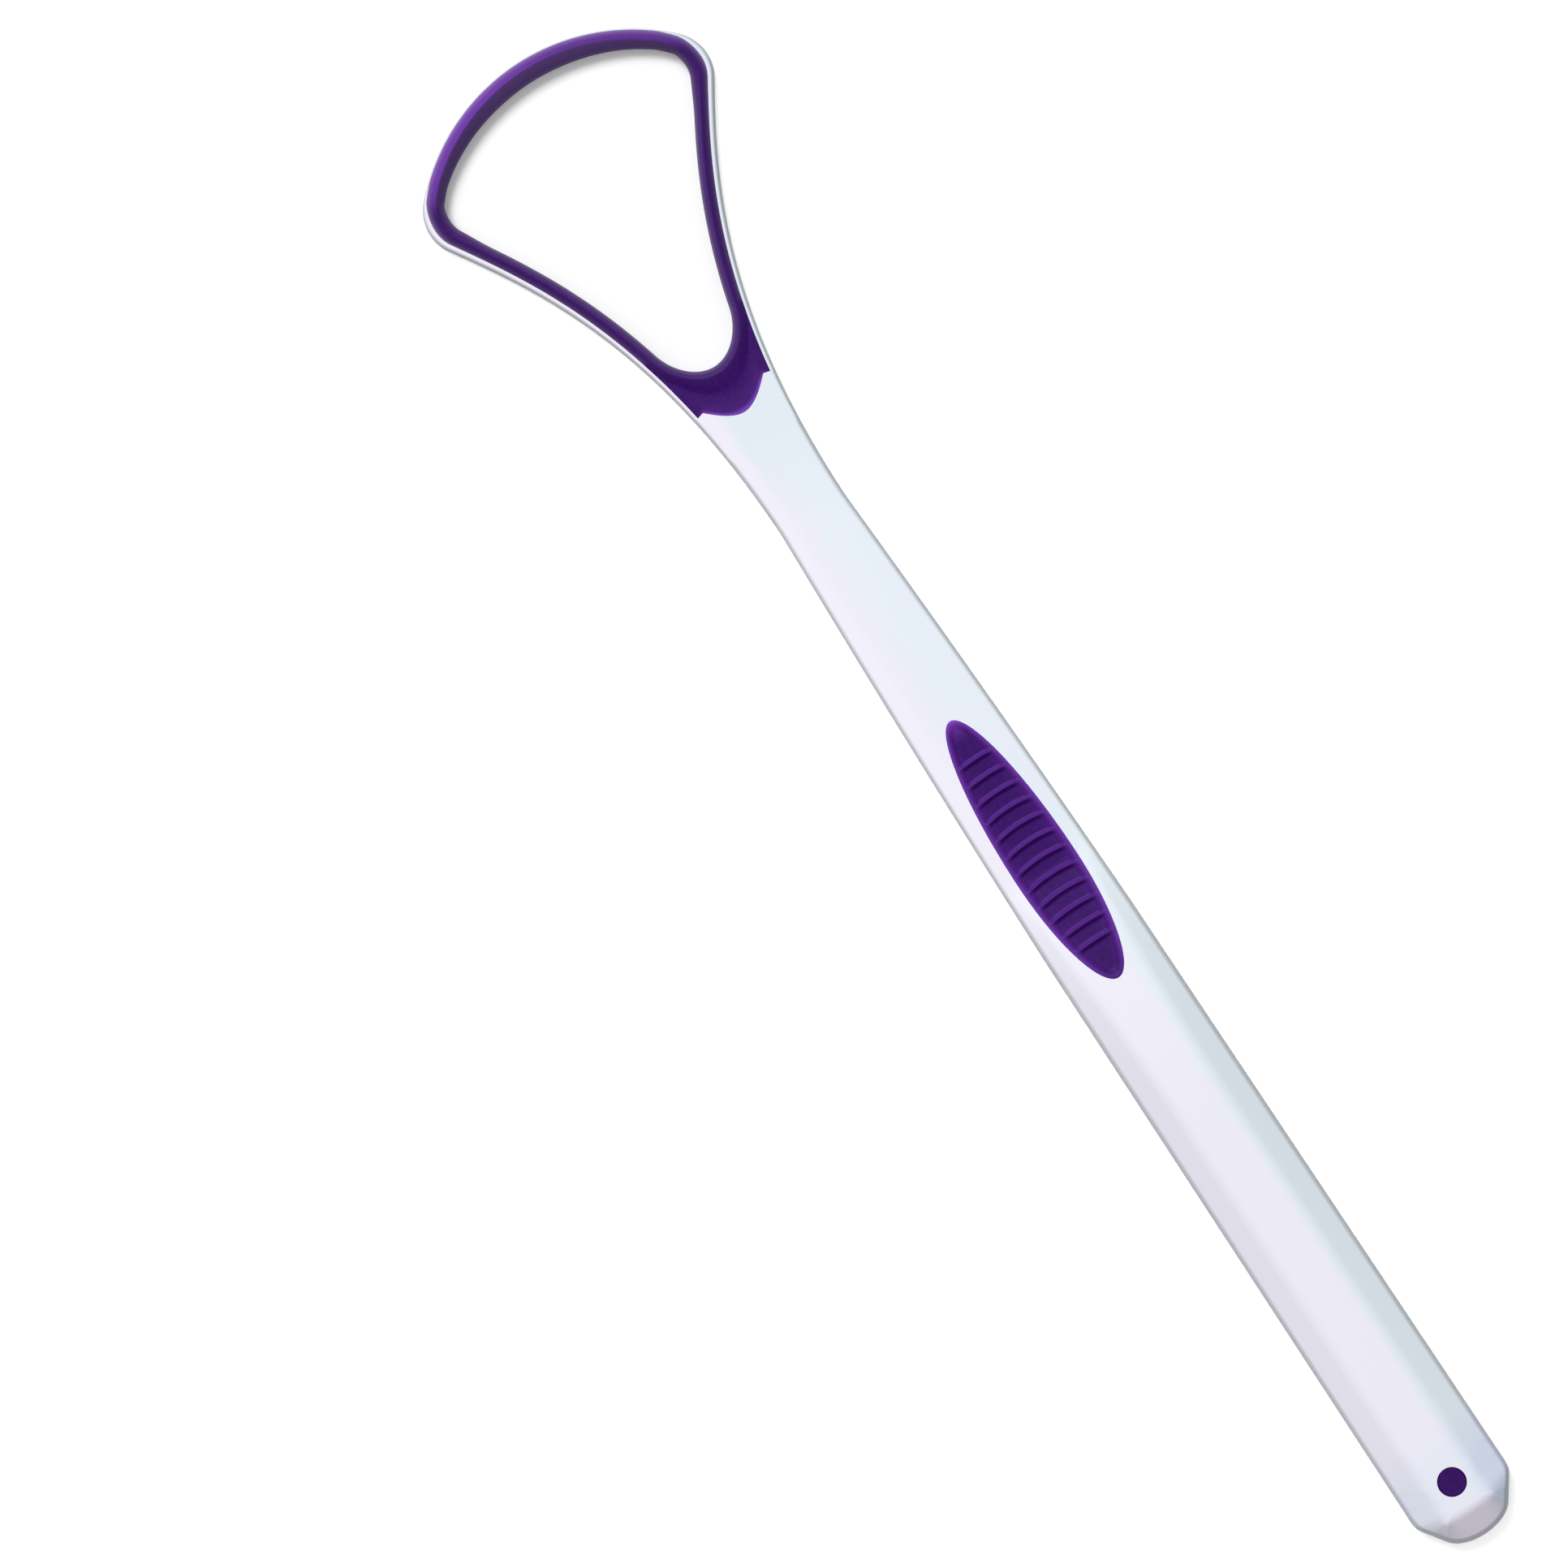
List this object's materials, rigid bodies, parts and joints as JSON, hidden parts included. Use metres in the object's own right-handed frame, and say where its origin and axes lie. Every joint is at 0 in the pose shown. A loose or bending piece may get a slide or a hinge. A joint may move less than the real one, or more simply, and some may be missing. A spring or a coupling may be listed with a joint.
{
  "type": "tongue scraper",
  "caption": "Long-handled tongue scraper: wide loop with a soft ridged lip, slim neck, flat bevelled handle with a ribbed thumb grip and a round end plug.",
  "frame": {"origin": "middle of the part's length and width, on the flat back", "axes": "+X from the loop to the end of the handle, +Y across the handle, +Z out of the scraping side"},
  "size_m": [0.2, 0.0376, 0.0055],
  "materials": {
    "frame": "smooth white moulded plastic",
    "lip": "soft purple elastomer, satin",
    "grip": "soft purple elastomer, satin",
    "plug": "soft purple elastomer, satin"
  },
  "bodies": {
    "root": {"handle_frame": "frame", "scraper_lip": "lip", "thumb_grip": "grip", "end_plug": "plug"}
  },
  "joints": []
}
